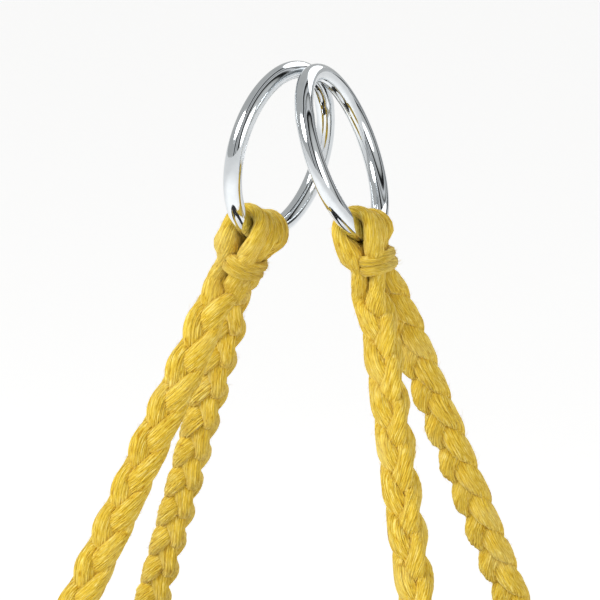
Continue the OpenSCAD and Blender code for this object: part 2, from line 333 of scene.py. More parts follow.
def lay_strand(knots, seed, taper_start=False, taper_end=False):
    """One soft strand of parallel yarns along the knots: points, quads, each corner's yarn coordinates, and its
    loose fibres. The yarns turn slowly round the strand, and a tapered end is a cut one."""
    rows, run = even_path(knots, ring_step)
    centre, flat, wide, thick = rows[:, :3], rows[:, 3:6], rows[:, 6], rows[:, 7]
    ahead = np.gradient(centre, run, axis=0)
    ahead /= np.linalg.norm(ahead, axis=1)[:, None]
    count = yarns * points_per_yarn
    dice = np.random.default_rng(seed)
    yarn_of = np.arange(count) // points_per_yarn
    scallop = np.array([0.0, 1.0, 0.95])[np.arange(count) % points_per_yarn]
    proud = dice.normal(0, yarn_uneven, yarns)
    wave = dice.uniform(0, 2 * math.pi, (yarns, 2))
    lay = dice.uniform(*yarn_turns)
    first = np.array([0.0, 0.0, 1.0]) if abs(ahead[0][2]) < 0.8 else np.array([0.0, 1.0, 0.0])
    side = np.cross(ahead[0], first)
    points = []
    for i, run_here in enumerate(run):
        side = side - ahead[i] * side.dot(ahead[i])
        side /= np.linalg.norm(side)
        other = np.cross(ahead[i], side)
        lean = math.atan2(flat[i].dot(other), flat[i].dot(side))
        angle = 2 * math.pi * np.arange(count) / count + lay * run_here
        angle = angle + 0.07 * np.sin(wave[yarn_of, 0] + run_here * 95) + 0.05 * math.sin(run_here * 60 + seed)
        oval = 1 / np.sqrt((np.cos(angle - lean) / thick[i]) ** 2 + (np.sin(angle - lean) / wide[i]) ** 2)
        rise = proud[yarn_of] + yarn_swell * np.sin(wave[yarn_of, 1] + run_here * 70)
        radius = oval - yarn_depth + scallop * (yarn_depth + rise)
        ends = 1.0
        if taper_start:
            ends = min(ends, cut_end + (1 - cut_end) * smooth(run_here / cut_length))
        if taper_end:
            ends = min(ends, cut_end + (1 - cut_end) * smooth((run[-1] - run_here) / cut_length))
        points.append(centre[i] + (radius * ends * np.cos(angle))[:, None] * side
                      + (radius * ends * np.sin(angle))[:, None] * other)
    points = np.concatenate(points)
    i, j = np.meshgrid(np.arange(len(run) - 1), np.arange(count), indexing="ij")
    k = (j + 1) % count
    quads = np.stack([i * count + j, i * count + k, (i + 1) * count + k, (i + 1) * count + j], axis=-1).reshape(-1, 4)
    corner_u = np.stack([j, j + 1, j + 1, j], axis=-1).reshape(-1, 4) / points_per_yarn
    corner_v = np.stack([run[i], run[i], run[i + 1], run[i + 1]], axis=-1).reshape(-1, 4)
    corners = np.stack([corner_u, corner_v], axis=-1).reshape(-1, 2)
    hairs, hair_faces = fluff(points, centre, ahead, count, int(run[-1] * loose_fibres), dice)
    return points, quads, corners, hairs, hair_faces


def fluff(points, centre, ahead, count, number, dice):
    """Loose fibres that stand a little off a strand's skin: thin closed three-sided tubes in three bends."""
    ring = dice.integers(1, len(centre) - 1, number)
    skin = points[ring * count + dice.integers(0, count, number)]
    away = skin - centre[ring]
    away /= np.linalg.norm(away, axis=1)[:, None]
    onward = ahead[ring] * dice.choice([-1.0, 1.0], number)[:, None]
    aside = np.cross(away, onward)
    long = dice.uniform(0.4, 1.0, number)[:, None] * fibre_long
    lift = dice.uniform(0.1, 0.55, number)[:, None]
    curl = dice.normal(0, 0.35, number)[:, None]
    spine = [skin - away * 0.0004,
             skin + long * (onward * 0.35 + away * lift * 0.5 + aside * curl * 0.3),
             skin + long * (onward * 0.70 + away * lift * 0.8 + aside * curl * 0.8),
             skin + long * (onward * 0.95 + away * lift * 0.7 + aside * curl * 1.5)]
    hairs = []
    for place, share in zip(spine, (1.0, 0.9, 0.7, 0.35)):
        for turned in (0.0, 2.094, 4.189):  # thirds of a turn
            hairs.append(place + fibre_wide * share * (away * math.cos(turned) + aside * math.sin(turned)))
    hairs = np.stack(hairs, axis=1).reshape(-1, 3)
    each = [[3 * i + 3 + j, 3 * i + 3 + (j + 1) % 3, 3 * i + (j + 1) % 3, 3 * i + j]
            for i in range(3) for j in range(3)]
    faces = [[12 * n + v for v in row] for n in range(number) for row in each + [[0, 1, 2], [11, 10, 9]]]
    return hairs, faces


def make_cordage(name, strands):
    """Joins laid strands into one mesh object with a yarn map: u counts yarns, v is metres along the strand.
    Every strand's ends are closed."""
    points, faces, corners, base = [], [], [], 0
    for strand_points, quads, strand_corners, hairs, hair_faces in strands:
        count = yarns * points_per_yarn
        points.append(strand_points)
        faces += (quads + base).tolist()
        corners.append(strand_corners)
        last = base + len(strand_points) - count
        faces += [list(range(base + count - 1, base - 1, -1)), list(range(last, last + count))]
        corners.append(np.zeros((2 * count, 2)))
        base += len(strand_points)
        points.append(hairs)
        faces += [[base + v for v in row] for row in hair_faces]
        corners.append(np.tile(fibre_tone_at, (sum(map(len, hair_faces)), 1)))
        base += len(hairs)
    mesh = bpy.data.meshes.new(name)
    mesh.from_pydata(np.concatenate(points).tolist(), [], faces)
    layer = mesh.uv_layers.new(name="yarns")
    layer.data.foreach_set("uv", np.concatenate(corners).astype(np.float32).ravel())
    mesh.update()
    mesh.shade_smooth()
    piece = bpy.data.objects.new(name, mesh)
    bpy.context.collection.objects.link(piece)
    return piece


cotton, tree = bare_material("dyed_cotton_cord")
# Cotton dyed a warm yellow: matt, with a soft sheen from loose fibres. Yarns 1.3 mm apart take the dye a little
# unevenly. A fibre is 0.02 mm thick, too fine to show, so fibres are drawn as bundles 0.8 mm wide and 5 mm long,
# with finer ones 0.3 mm wide over them.
yarn_map = add_node(tree, "ShaderNodeUVMap", {"uv_map": "yarns"})
object_map = add_node(tree, "ShaderNodeTexCoord", {})
fibre_lie = add_node(tree, "ShaderNodeMapping", {"Scale": (1.7, 190.0, 1.0)}, (yarn_map.outputs["UV"], "Vector"))
fibres = add_node(tree, "ShaderNodeTexNoise", {"Scale": 1.0, "Detail": 3.0, "Roughness": 0.6, "Distortion": 0.5},
                  (fibre_lie.outputs["Vector"], "Vector"))
fine_lie = add_node(tree, "ShaderNodeMapping", {"Scale": (5.0, 420.0, 1.0)}, (yarn_map.outputs["UV"], "Vector"))
fine = add_node(tree, "ShaderNodeTexNoise", {"Scale": 1.0, "Detail": 2.0}, (fine_lie.outputs["Vector"], "Vector"))
matted = add_node(tree, "ShaderNodeMath", {"operation": "MULTIPLY_ADD", 1: 0.45, 2: -0.22},
                  (fine.outputs["Fac"], 0))
pile = add_node(tree, "ShaderNodeMath", {"operation": "ADD"}, (fibres.outputs["Fac"], 0), (matted.outputs[0], 1))
yarn_lie = add_node(tree, "ShaderNodeMapping", {"Scale": (0.9, 26.0, 1.0)}, (yarn_map.outputs["UV"], "Vector"))
yarn_tone = add_node(tree, "ShaderNodeTexNoise", {"Scale": 1.0, "Detail": 2.0},
                     (yarn_lie.outputs["Vector"], "Vector"))
dye = add_node(tree, "ShaderNodeTexNoise", {"Scale": 38.0, "Detail": 3.0}, (object_map.outputs["Object"], "Vector"))
tones = add_node(tree, "ShaderNodeValToRGB", {}, (pile.outputs[0], "Fac"))
tones.color_ramp.elements[0].position = 0.30
tones.color_ramp.elements[0].color = linear("a47408")
tones.color_ramp.elements[1].position = 0.72
tones.color_ramp.elements[1].color = linear("f8e486")
tones.color_ramp.elements.new(0.41).color = linear("d3ae2a")
tones.color_ramp.elements.new(0.55).color = linear("e4c648")
darker = add_node(tree, "ShaderNodeMapRange", {"From Min": 0.3, "From Max": 0.7, "To Min": 0.35, "To Max": 0.0},
                  (yarn_tone.outputs["Fac"], "Value"))
yarn_dye = add_node(tree, "ShaderNodeMix", {"data_type": "RGBA", "B": linear("cca41f")},
                    (darker.outputs["Result"], "Factor"), (tones.outputs["Color"], "A"))
# The groove between two yarns, where u is a whole number, is darkened to a deep yellow: this is painted shade.
yarn_u = add_node(tree, "ShaderNodeSeparateXYZ", {}, (yarn_map.outputs["UV"], 0))
across_yarn = add_node(tree, "ShaderNodeMath", {"operation": "PINGPONG", 1: 0.5}, (yarn_u.outputs["X"], 0))
painted_groove_shade = add_node(tree, "ShaderNodeMapRange", {"From Min": 0.0, "From Max": 0.16, "To Min": 0.5, "To Max": 0.0},
                  (across_yarn.outputs[0], "Value"))
# Painted shade: the colour is pulled towards 9c7008 in each groove between yarns.
with_painted_groove_shade = add_node(tree, "ShaderNodeMix", {"data_type": "RGBA", "B": linear("9c7008")},
                   (painted_groove_shade.outputs["Result"], "Factor"), (yarn_dye.outputs["Result"], "A"))
pale = add_node(tree, "ShaderNodeMapRange", {"From Min": 0.55, "From Max": 0.8, "To Min": 0.0, "To Max": 0.35},
                (dye.outputs["Fac"], "Value"))
cloth_colour = add_node(tree, "ShaderNodeMix", {"data_type": "RGBA", "B": linear("f6e794")},
                        (pale.outputs["Result"], "Factor"), (with_painted_groove_shade.outputs["Result"], "A"))
fibre_relief = add_node(tree, "ShaderNodeBump", {"Strength": 0.9, "Distance": 0.0007},
                        (pile.outputs[0], "Height"))
cord_cloth = add_node(tree, "ShaderNodeBsdfPrincipled",
                      {"Roughness": 0.92, "Sheen Weight": 0.35, "Sheen Roughness": 0.5,
                       "Sheen Tint": linear("fff0c0"), "Specular IOR Level": 0.2},
                      (cloth_colour.outputs["Result"], "Base Color"), (fibre_relief.outputs["Normal"], "Normal"))
add_node(tree, "ShaderNodeOutputMaterial", {}, (cord_cloth.outputs[0], "Surface"))


def middle(node):
    """The centre of a CAD node's box."""
    low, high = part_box(node)
    return (Vector(low) + Vector(high)) / 2


def leg_over_ring(side, fold, outward):
    """Knots of one leg of a fold, from above the ring's wire a quarter turn round it to one side, and the way that
    side faces.
    """
    centre, axis, hang, along = ring_frames[side]
    outer = axis if axis.x * parting_reach[side] > 0 else -axis
    angle = slide_angle + fold * fold_pitch / ring_radius
    down = hang * math.cos(angle) + along * math.sin(angle)
    wire = centre + down * ring_radius
    reach = ring_wire + lap_gap + lap_thick
    way = outer * outward
    knots = []
    for degrees in (0, 18, 36, 54, 72, 90):
        turned = math.radians(degrees)
        out = -down * math.cos(turned) + way * math.sin(turned)
        knots.append((wire + out * reach, out, lap_wide, lap_thick))
    return knots, way


def neck_place(side, fold, outward):
    """Where a leg lies in the whipping, measured from the whipping's middle."""
    _, axis, hang, along = ring_frames[side]
    heart = middle(f"whipping_{side}")
    wire = ring_frames[side][0] + (hang * math.cos(slide_angle) + along * math.sin(slide_angle)) * ring_radius
    down = (heart - wire).normalized()
    outer = axis if axis.x * parting_reach[side] > 0 else -axis
    outer = (outer - down * outer.dot(down)).normalized()
    across = (along - down * along.dot(down) - outer * along.dot(outer)).normalized()
    return heart, down, outer, across, outer * outward * neck_outer + across * fold * neck_across


def plait_offset(run, start, phase, width_way, depth_way):
    """Where a strand of the plait lies off its centreline, and which way its flat side faces."""
    angle = 2 * math.pi * (run - start) / plait_pitch + phase
    offset = width_way * plait_half_width * math.sin(angle) - depth_way * plait_half_depth * math.sin(2 * angle)
    facing = angle - math.pi / 2 - 0.25 * math.sin(2 * angle)
    return offset, width_way * math.cos(facing) + depth_way * math.sin(facing)


def rope_spine(side, sign):
    """The centreline of one rope, from the whipping at its ring to the whipping at its eye bolt."""
    heart, down, _, across, _ = neck_place(side, 0, 1)
    reach = parting_reach[side]
    apart = math.copysign(1, reach)
    end = f"{'front' if sign < 0 else 'back'}_{side}"
    foot = middle(f"end_whipping_{end}")
    bend = Vector((reach + apart * flare_out, sign * flare_forward, part_height - flare_drop))
    inward = mouth_inward.get((side, sign), 0.0)
    mouth = heart + down * (whip_half_height + 0.006) + across * (sign * 0.0085) - Vector((apart * inward, 0, 0))
    part = Vector((reach + apart * (0.0012 - inward * 0.6), sign * mouth_out, part_height + 0.001))
    straight = [bend.lerp(foot, i / straight_parts) for i in range(straight_parts + 1)]
    stops = [heart + across * sign * neck_parting, mouth, part] + straight
    rows, run = even_path([(p, Vector((0, sign, 0)), 1, 1) for p in stops], spine_step)
    bolt = middle(f"washer_{end}")
    bolt.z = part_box(f"eye_bolt_{end}")[1].z - bolt_eye_radius - bolt_wire
    return rows[:, :3], run, bolt, (bend - bolt).normalized(), foot


def plait_axes(ahead, sign, width_way):
    """The plait's own directions at a point of its centreline: across its width, and out of its face."""
    depth = Vector((0, sign, 0))
    depth = (depth - ahead * depth.dot(ahead)).normalized()
    wide = depth.cross(ahead).normalized()
    return (-wide if wide.dot(width_way) < 0 else wide), depth


def leg_knots(side, sign, index):
    """Knots of one leg from the top of its ring's wire down its plait, round the eye bolt and up to the cut tail."""
    fold, outward, degrees = ((1, 1, 90), (0, -1, 210), (1, -1, 330))[index]
    fold *= sign
    outward *= sign
    heart, down, outer, across, neck = neck_place(side, fold, outward)
    spine, run, bolt, pull, foot = rope_spine(side, sign)
    slope = np.gradient(spine, run, axis=0)
    length = run[-1]
    width_way = outer * sign
    bolt_across = Vector((0, 0, 1)).cross(pull).normalized()
    bolt_along = pull.cross(bolt_across).normalized()
    wide, depth = plait_axes(-pull, sign, width_way)
    ends = [plait_offset(length, plait_start, math.radians(d), wide, depth)[0].dot(bolt_along)
            for d in (90, 210, 330)]
    place = sorted(range(3), key=lambda i: ends[i]).index(index) - 1
    to_foot = bolt_across * foot_side + bolt_along * place * foot_pitch
    lap, facing_out = leg_over_ring(side, fold, outward)
    knots = list(lap)
    slack = facing_out * (leg_slack[side] if facing_out.x < 0 else 0.0002)
    above = heart + neck * 1.12 + slack * 0.6 - down * (whip_half_height + 0.004)
    knots.append((above, facing_out, lap_wide * 0.95, lap_thick * 1.4 + slack.length * 0.4))
    neck = neck + slack * 0.5
    knots.append((heart + neck - down * 0.003, facing_out, legs_radius, legs_radius))
    for spot, ahead, here in zip(spine[1::2], slope[1::2], run[1::2]):
        if here < 0.004 or here > length - 0.004:
            continue
        wide, depth = plait_axes(Vector(ahead).normalized(), sign, width_way)
        woven, facing = plait_offset(here, plait_start, math.radians(degrees), wide, depth)
        leave = smooth((here - 0.003) / ease_length)
        settle = smooth((length - 0.002 - here) / ease_length)
        grown = min(leave, settle)
        base = legs_radius if leave < 1 else foot_wide
        at = (Vector(spot) + woven * grown + (neck - across * sign * neck_parting) * (1 - leave)
              + to_foot * (1 - settle))
        knots.append((at, facing, base + (strand_wide - base) * grown, base + (strand_thick - base) * grown))
    turned_side = place * foot_pitch / bolt_eye_radius
    out_from_bolt = pull * math.cos(turned_side) + bolt_along * math.sin(turned_side)
    wire = bolt + out_from_bolt * bolt_eye_radius
    loop = bolt_wire + lap_gap + foot_thick
    row = bolt_along * place * foot_pitch
    knots.append((foot + to_foot, bolt_across, foot_wide, foot_wide))
    knots.append((foot + to_foot - pull * foot_reach, bolt_across, foot_wide, foot_wide * 0.92))
    for degrees in range(90, -91, -18):
        spin = math.radians(degrees)
        out = bolt_across * math.sin(spin) + out_from_bolt * -math.cos(spin)
        knots.append((wire + out * loop, out, foot_wide, foot_thick))
    rise = pull * (whip_half_height * 1.1)
    knots.append((foot - bolt_across * foot_side + row - pull * foot_reach, -bolt_across,
                  foot_wide, foot_wide * 0.92))
    knots.append((foot - bolt_across * foot_side + row, -bolt_across, foot_wide, foot_wide))
    knots.append((foot - bolt_across * 0.0048 + row + rise, -bolt_across, foot_wide, foot_wide))
    tip = pull * tail_length * (1 + 0.15 * place) + row * 0.25 - bolt_across * 0.0072
    knots.append((foot + row + tip, -bolt_across, foot_wide * 1.1, foot_wide * 0.9))
    return knots


def whole_cord(side, first, second, seed):
    """One unbroken strand: up one leg, over the ring and down the other. Each leg is (sign, index)."""
    up_leg = leg_knots(side, *first)
    down_leg = leg_knots(side, *second)
    return lay_strand(up_leg[::-1] + down_leg[1:], seed, taper_start=True, taper_end=True)


# Each ring's three strands are one unbroken cord apiece: one feeds the front plait twice, one the back plait twice,
# and the middle one goes down one of each.
for side, seed in (("left", 3), ("right", 40)):
    for row, first, second, stands_for in (
            ("front", (-1, 0), (-1, 2), (f"rope_front_{side}", f"end_eye_front_{side}")),
            ("middle", (-1, 1), (1, 1), (f"eye_{side}",)),
            ("back", (1, 0), (1, 2), (f"rope_back_{side}", f"end_eye_back_{side}"))):
        cord = make_cordage(f"cord_{row}_{side}", [whole_cord(side, first, second, seed + len(row))])
        cord.data.materials.append(cotton)
        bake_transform(cord)
        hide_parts(*stands_for)


# The whippings: two turns of the same soft cord drawn tight round a neck of six legs. Each turn lies level across
# the front and drops a cord's width behind, and both ends are tucked under the legs on the left.
whip_wide = 0.0031
whip_thick = 0.0021
whip_pitch = 0.0058
whip_lift = {"left": 0.0022, "right": 0.0026}
whip_tilt = {"left": 0.0014, "right": 0.0}
whip_slope = 0.0042
whip_tuck = 0.0026
upper_half_right = 0.0093
upper_half_front = 0.0118
end_half_right = 0.0084
end_half_front = 0.0119
whip_from = -150
whip_to = 510
tucked_span = 40
tucked_in = 0.25
step_down_from = 100
step_down_over = 160
turn_uneven = 0.0006


def whipping_cord(name, heart, down, rightward, frontward, half_right, half_front, tuck, slope, tilt, seed, body):
    """Winds a whipping round an oval neck of the given half sizes. tuck draws its left side in under the legs,
    slope lifts its front and tilt its right."""
    knots = []
    for degrees in range(whip_from, whip_to + 1, 15):
        spin = math.radians(degrees)
        late = max(0, whip_from + tucked_span - degrees, degrees - whip_to + tucked_span) / tucked_span
        out = (rightward * math.sin(spin) * half_front + frontward * math.cos(spin) * half_right).normalized()
        place = (rightward * (tuck + math.sin(spin) * (half_right + whip_thick - tuck))
                 + frontward * math.cos(spin) * (half_front + whip_thick)) * (1 - tucked_in * late)
        drop = (smooth((degrees - step_down_from) / step_down_over) - 0.5) * whip_pitch
        drop += turn_uneven * math.sin(spin + seed)
        drop -= slope * math.cos(spin) + tilt * math.sin(spin)
        knots.append((heart + place + down * drop, out, whip_wide, whip_thick))
    piece = make_cordage(name, [lay_strand(knots, seed)])
    piece.data.materials.append(cotton)
    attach(piece, body)
    return piece


for side in ("left", "right"):
    heart, down, outer, across, _ = neck_place(side, 0, 1)
    rightward = outer if outer.x > 0 else -outer
    whip = whipping_cord(f"whipping_cord_{side}", heart - down * whip_lift[side], down, rightward, -across,
                         upper_half_right, upper_half_front, whip_tuck, whip_slope, whip_tilt[side], 5, "eyes")
    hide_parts(f"whipping_{side}")
    for sign, way in ((-1, "front"), (1, "back")):
        _, _, _, pull, foot = rope_spine(side, sign)
        bolt_across = Vector((0, 0, 1)).cross(pull).normalized()
        bolt_along = pull.cross(bolt_across).normalized()
        whip = whipping_cord(f"end_whipping_cord_{way}_{side}", foot, -pull, bolt_across, bolt_along,
                             end_half_right, end_half_front, 0.0, 0.0, 0.0, 9 + sign, "swing")
        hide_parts(f"end_whipping_{way}_{side}")


# The eye bolts, forged in one piece from steel bar and hot-dip galvanised. The forging leaves soft fillets between
# the eye, the shoulder and the shank. Each goes through a hole in the upper sidewall.
galvanised, tree = bare_material("hot_dip_galvanised_steel")
# Zinc sets in flat crystals, the spangle, about 4 mm across on a forging: patches of slightly different grey that
# are half matt. Dull white bloom gathers over them in clouds of 11 mm.
place_on = add_node(tree, "ShaderNodeTexCoord", {})
spangle = add_node(tree, "ShaderNodeTexVoronoi", {"Scale": 250.0}, (place_on.outputs["Object"], "Vector"))
spangle_grey = add_node(tree, "ShaderNodeSeparateColor", {}, (spangle.outputs["Color"], 0))
bloom = add_node(tree, "ShaderNodeTexNoise", {"Scale": 90.0, "Detail": 5.0}, (place_on.outputs["Object"], "Vector"))
zinc_tone = add_node(tree, "ShaderNodeMix", {"data_type": "RGBA", "A": linear("9da1a4"), "B": linear("bfc3c5")},
                     (spangle_grey.outputs[0], "Factor"))
bloomed = add_node(tree, "ShaderNodeMapRange", {"From Min": 0.5, "From Max": 0.75, "To Min": 0.0, "To Max": 0.5},
                   (bloom.outputs["Fac"], "Value"))
zinc_colour = add_node(tree, "ShaderNodeMix", {"data_type": "RGBA", "B": linear("cdd0d1")},
                       (bloomed.outputs["Result"], "Factor"), (zinc_tone.outputs["Result"], "A"))
zinc_rough = add_node(tree, "ShaderNodeMapRange", {"To Min": 0.34, "To Max": 0.6},
                      (spangle_grey.outputs[1], "Value"))
zinc_relief = add_node(tree, "ShaderNodeBump", {"Strength": 0.25, "Distance": 0.0004},
                       (bloom.outputs["Fac"], "Height"))
zinc = add_node(tree, "ShaderNodeBsdfPrincipled", {"Metallic": 1.0},
                (zinc_colour.outputs["Result"], "Base Color"), (zinc_rough.outputs["Result"], "Roughness"),
                (zinc_relief.outputs["Normal"], "Normal"))
add_node(tree, "ShaderNodeOutputMaterial", {}, (zinc.outputs[0], "Surface"))

corners = [f"{way}_{side}" for way in ("front", "back") for side in ("left", "right")]


def pick(piece):
    """Selects one object alone and makes it active."""
    bpy.ops.object.select_all(action="DESELECT")
    piece.select_set(True)
    bpy.context.view_layer.objects.active = piece


def finish_modifiers(piece):
    """Applies every modifier of a piece, in order."""
    pick(piece)
    for modifier in list(piece.modifiers):
        bpy.ops.object.modifier_apply(modifier=modifier.name)


for corner in corners:
    rough_part = frame["nodes"][f"eye_bolt_{corner}"]
    forging = bpy.data.objects.new(f"forged_eye_bolt_{corner}", rough_part.data.copy())
    bpy.context.collection.objects.link(forging)
    forging.data.materials.clear()
    pick(forging)
    bpy.ops.object.mode_set(mode="EDIT")
    bpy.ops.mesh.select_all(action="SELECT")
    bpy.ops.mesh.remove_doubles(threshold=0.00001)
    bpy.ops.object.mode_set(mode="OBJECT")
    skin = forging.modifiers.new("skin", "REMESH")
    skin.mode = "VOXEL"
    skin.voxel_size = 0.0008
    soften = forging.modifiers.new("soften", "SMOOTH")
    soften.factor = 0.6
    soften.iterations = 7
    finish_modifiers(forging)
    forging.data.shade_smooth()
    forging.data.materials.append(galvanised)
    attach(forging, "swing")
    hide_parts(f"eye_bolt_{corner}")


# The washers, punched from steel plate and galvanised: a wide one on the tyre and a backing one inside it.
# Punching leaves square edges, so the plain rings stay as they are and take the zinc.
for corner in corners:
    for kind in ("washer", "backing_washer"):
        plate_ring = frame["nodes"][f"{kind}_{corner}"]
        plate_ring.data.materials.clear()
        plate_ring.data.materials.append(galvanised)


# The lock nuts: hexagons with both faces turned to a chamfer, and a nylon ring crimped in at the lower end.
nut_chamfer = 0.0011
collar_height = 0.0035
collar_reach = 0.74
collar_round = 0.42
collar_rise = 0.75
zinc_plate, tree = bare_material("bright_zinc_plated_steel")
# Thin bright zinc over machined steel: a smoother, bluer grey than the galvanised pieces, with tool marks of 0.7 mm.
place_on = add_node(tree, "ShaderNodeTexCoord", {})
tooling = add_node(tree, "ShaderNodeTexNoise", {"Scale": 1500.0, "Detail": 2.0},
                   (place_on.outputs["Object"], "Vector"))
tool_relief = add_node(tree, "ShaderNodeBump", {"Strength": 0.15, "Distance": 0.0001},
                       (tooling.outputs["Fac"], "Height"))
tool_rough = add_node(tree, "ShaderNodeMapRange", {"To Min": 0.22, "To Max": 0.38}, (tooling.outputs["Fac"], "Value"))
bright = add_node(tree, "ShaderNodeBsdfPrincipled", {"Metallic": 1.0, "Base Color": linear("c3c9d0")},
                  (tool_rough.outputs["Result"], "Roughness"), (tool_relief.outputs["Normal"], "Normal"))
add_node(tree, "ShaderNodeOutputMaterial", {}, (bright.outputs[0], "Surface"))

nylon, tree = bare_material("white_nylon")
# Natural nylon: milky, slightly glossy, with a faint mould grain of about 1 mm.
place_on = add_node(tree, "ShaderNodeTexCoord", {})
grain = add_node(tree, "ShaderNodeTexNoise", {"Scale": 900.0}, (place_on.outputs["Object"], "Vector"))
grain_relief = add_node(tree, "ShaderNodeBump", {"Strength": 0.1, "Distance": 0.0001},
                        (grain.outputs["Fac"], "Height"))
milky = add_node(tree, "ShaderNodeBsdfPrincipled", {"Base Color": linear("e8e6dc"), "Roughness": 0.45, "IOR": 1.53},
                 (grain_relief.outputs["Normal"], "Normal"))
add_node(tree, "ShaderNodeOutputMaterial", {}, (milky.outputs[0], "Surface"))

for corner in corners:
    low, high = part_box(f"nut_{corner}")
    heart = (low + high) / 2
    hex_radius = (high.x - low.x) / 2
    tall = high.z - low.z
    bpy.ops.mesh.primitive_cylinder_add(vertices=6, radius=hex_radius, depth=tall - collar_height,
                                        end_fill_type="NGON",
                                        location=(heart.x, heart.y, heart.z + collar_height / 2),
                                        rotation=(0, 0, math.radians(90)))
    nut = bpy.context.object
    nut.name = f"lock_nut_{corner}"
    bpy.ops.object.transform_apply(location=True, rotation=True, scale=True)
    dome = nut.modifiers.new("chamfer", "BEVEL")
    dome.width = nut_chamfer
    dome.segments = 3
    finish_modifiers(nut)
    nut.data.materials.append(zinc_plate)
    bpy.ops.mesh.primitive_torus_add(major_segments=48, minor_segments=16,
                                     major_radius=hex_radius * collar_reach,
                                     minor_radius=collar_height * collar_round,
                                     location=(heart.x, heart.y, low.z + collar_height * collar_rise))
    crimp = bpy.context.object
    crimp.name = f"lock_nut_collar_{corner}"
    bpy.ops.object.transform_apply(location=True, rotation=True, scale=True)
    crimp.data.shade_smooth()
    crimp.data.materials.append(nylon)
    for piece in (nut, crimp):
        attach(piece, "swing")
    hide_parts(f"nut_{corner}")


# The tyre's casing: one vulcanised moulding of black rubber. It is turned from its outline, bead to bead over the
# tread and back along the inside, with low mould ribs on the sidewalls, and drilled below so that rain runs out.
bead_radius = 0.203
groove_depth = 0.009
shoulder_radius = 0.038
crown_drop = 0.005
tread_thick = 0.021
wall_thick = 0.010
rib_height = 0.0011
rib_starts = (0.258, 0.264, 0.270, 0.324, 0.330)
bead_depth = 0.031
# The bead's outside, bottom to top: outwards from its bore, and down from the sidewall's face.
bead_steps = ((0.0, bead_depth), (0.0004, 0.024), (0.0, 0.017), (0.0015, 0.014), (0.005, 0.012))
bead_curve_ends = 0.052
bead_curve_width = 0.043
bead_curve_height = 0.010
tread_edge = 0.022
inner_corner = 0.030
drain_circle = 0.299
drain_radius = 0.007
tyre_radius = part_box("tyre_tread")[1].x
tyre_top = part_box("tyre_sidewall_upper")[1].z
tyre_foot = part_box("tyre_sidewall_lower")[0].z
half_width = (tyre_top - tyre_foot) / 2
tyre_mid = (tyre_top + tyre_foot) / 2
arc_radius = tyre_radius - crown_drop - shoulder_radius
arc_height = half_width - shoulder_radius


def tread_surface(z):
    """The tyre's radius at the tread, at a height z from its middle."""
    z = abs(z)
    if z <= arc_height:
        return tyre_radius - crown_drop * (z / arc_height) ** 2
    return arc_radius + math.sqrt(max(shoulder_radius ** 2 - (z - arc_height) ** 2, 0))


def sidewall_outline():
    """Half of the casing's outline, outside from the bead to the tread's middle and back inside."""
    points = [(bead_radius + out, half_width - below) for out, below in bead_steps]
    for degrees in range(8, 91, 9):
        turned = math.radians(degrees)
        points.append((bead_radius + bead_curve_ends - bead_curve_width * math.cos(turned),
                       half_width - bead_curve_height + bead_curve_height * math.sin(turned)))
    for start in rib_starts:
        points += [(start, half_width), (start + 0.001, half_width + rib_height),
                   (start + 0.003, half_width + rib_height), (start + 0.004, half_width)]
    for degrees in range(86, 43, -7):
        turned = math.radians(degrees)
        points.append((arc_radius + shoulder_radius * math.cos(turned),
                       arc_height + shoulder_radius * math.sin(turned)))
    base = arc_height + tread_edge
    points.append((tread_surface(base) - groove_depth * 0.55, base))
    for i in range(1, 8):
        z = base * (1 - i / 7)
        points.append((tread_surface(z) - groove_depth, z))
    inside = [(tyre_radius - tread_thick, 0.0)]
    for degrees in range(0, 91, 15):
        turned = math.radians(degrees)
        inside.append((tyre_radius - tread_thick - inner_corner + inner_corner * math.cos(turned),
                       half_width - wall_thick - inner_corner + inner_corner * math.sin(turned)))
    inside += [(bead_radius + 0.056, half_width - wall_thick), (bead_radius + 0.022, half_width - wall_thick - 0.010),
               (bead_radius + 0.014, half_width - bead_depth)]
    return points, inside


outside, inside = sidewall_outline()
outline = (outside + [(r, -z) for r, z in outside[-2::-1]] + [(r, -z) for r, z in inside[::-1]] + inside[1:]
           + [outside[0]])
bpy.ops.object.select_all(action="DESELECT")
bpy.ops.mesh.primitive_circle_add(vertices=168, radius=outline[0][0], location=(0, 0, 0))
casing = bpy.context.object
casing.name = "tyre_casing"
bpy.ops.object.mode_set(mode="EDIT")
bpy.ops.mesh.select_all(action="SELECT")
bpy.ops.transform.translate(value=(0, 0, tyre_mid + outline[0][1]))
for (r0, z0), (r1, z1) in zip(outline, outline[1:]):
    bpy.ops.mesh.extrude_edges_move(TRANSFORM_OT_translate={"value": (0, 0, z1 - z0)})
    bpy.ops.transform.resize(value=(r1 / r0, r1 / r0, 1), center_override=(0, 0, 0))
bpy.ops.mesh.select_all(action="SELECT")
bpy.ops.mesh.remove_doubles(threshold=0.00005)
bpy.ops.mesh.normals_make_consistent(inside=False)
bpy.ops.object.mode_set(mode="OBJECT")
drills = []
for i in range(6):
    turned = math.radians(60 * i)
    bpy.ops.mesh.primitive_cylinder_add(vertices=32, radius=drain_radius, depth=4 * wall_thick,
                                        location=(drain_circle * math.cos(turned), drain_circle * math.sin(turned),
                                                  tyre_foot + wall_thick / 2))
    drills.append(bpy.context.object)
for i, drill in enumerate(drills):
    cut = casing.modifiers.new(f"drain_{i}", "BOOLEAN")
    cut.object = drill
finish_modifiers(casing)
for drill in drills:
    bpy.data.objects.remove(drill)
pick(casing)
bpy.ops.object.shade_smooth_by_angle(angle=math.radians(32))

tyre_rubber, tree = bare_material("vulcanised_tyre_rubber")
